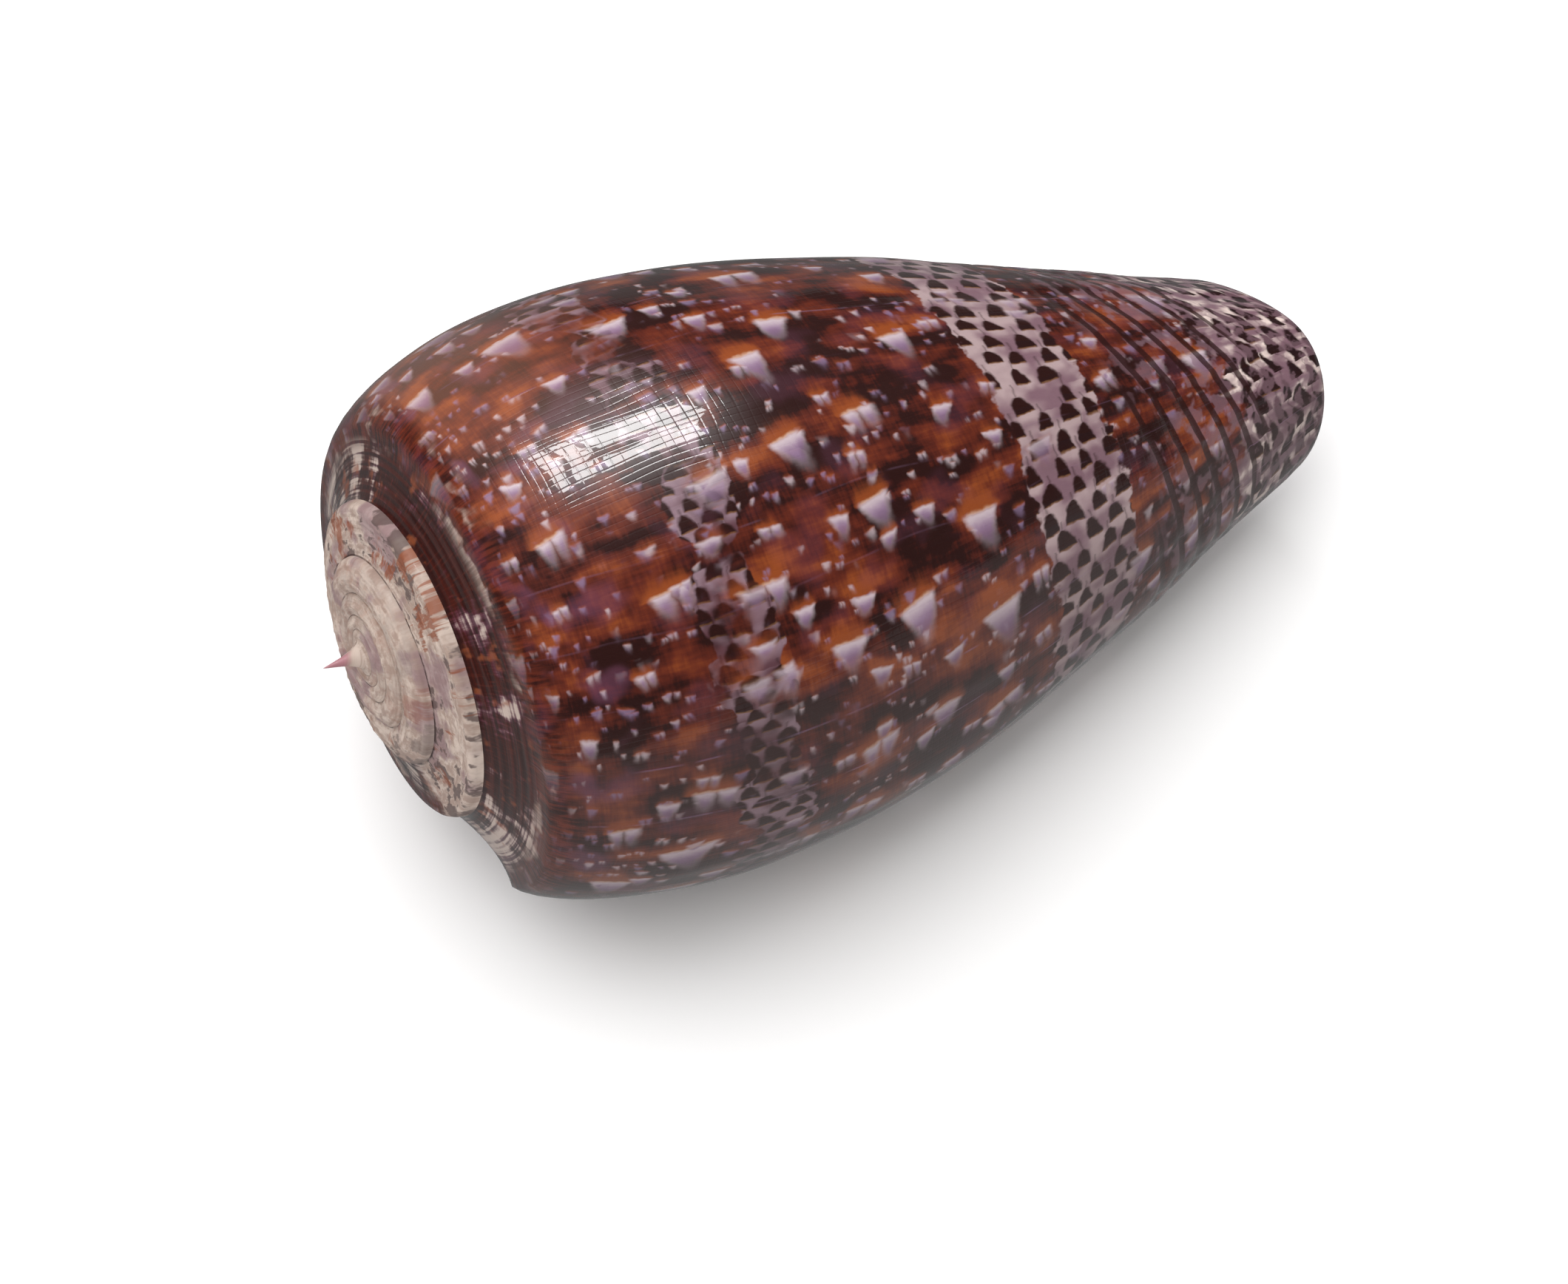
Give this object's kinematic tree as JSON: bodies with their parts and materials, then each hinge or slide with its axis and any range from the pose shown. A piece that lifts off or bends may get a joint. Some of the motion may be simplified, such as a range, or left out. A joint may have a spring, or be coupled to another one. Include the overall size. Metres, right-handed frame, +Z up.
{
  "type": "cone shell",
  "caption": "Cone-shaped sea shell with a low stepped spire and a long narrow aperture, lying on its aperture.",
  "frame": {"origin": "on the surface that the shell lies on, below the middle of its bounding box", "axes": "+Z up; +X along the coiling axis as seen from above, from the spire towards the anterior end"},
  "size_m": [0.0562, 0.0312, 0.0288],
  "materials": {
    "shell": "glossy tented brown, orange and lilac shell, worn cream on the early whorls"
  },
  "bodies": {
    "root": {"shell": "shell"}
  },
  "joints": []
}
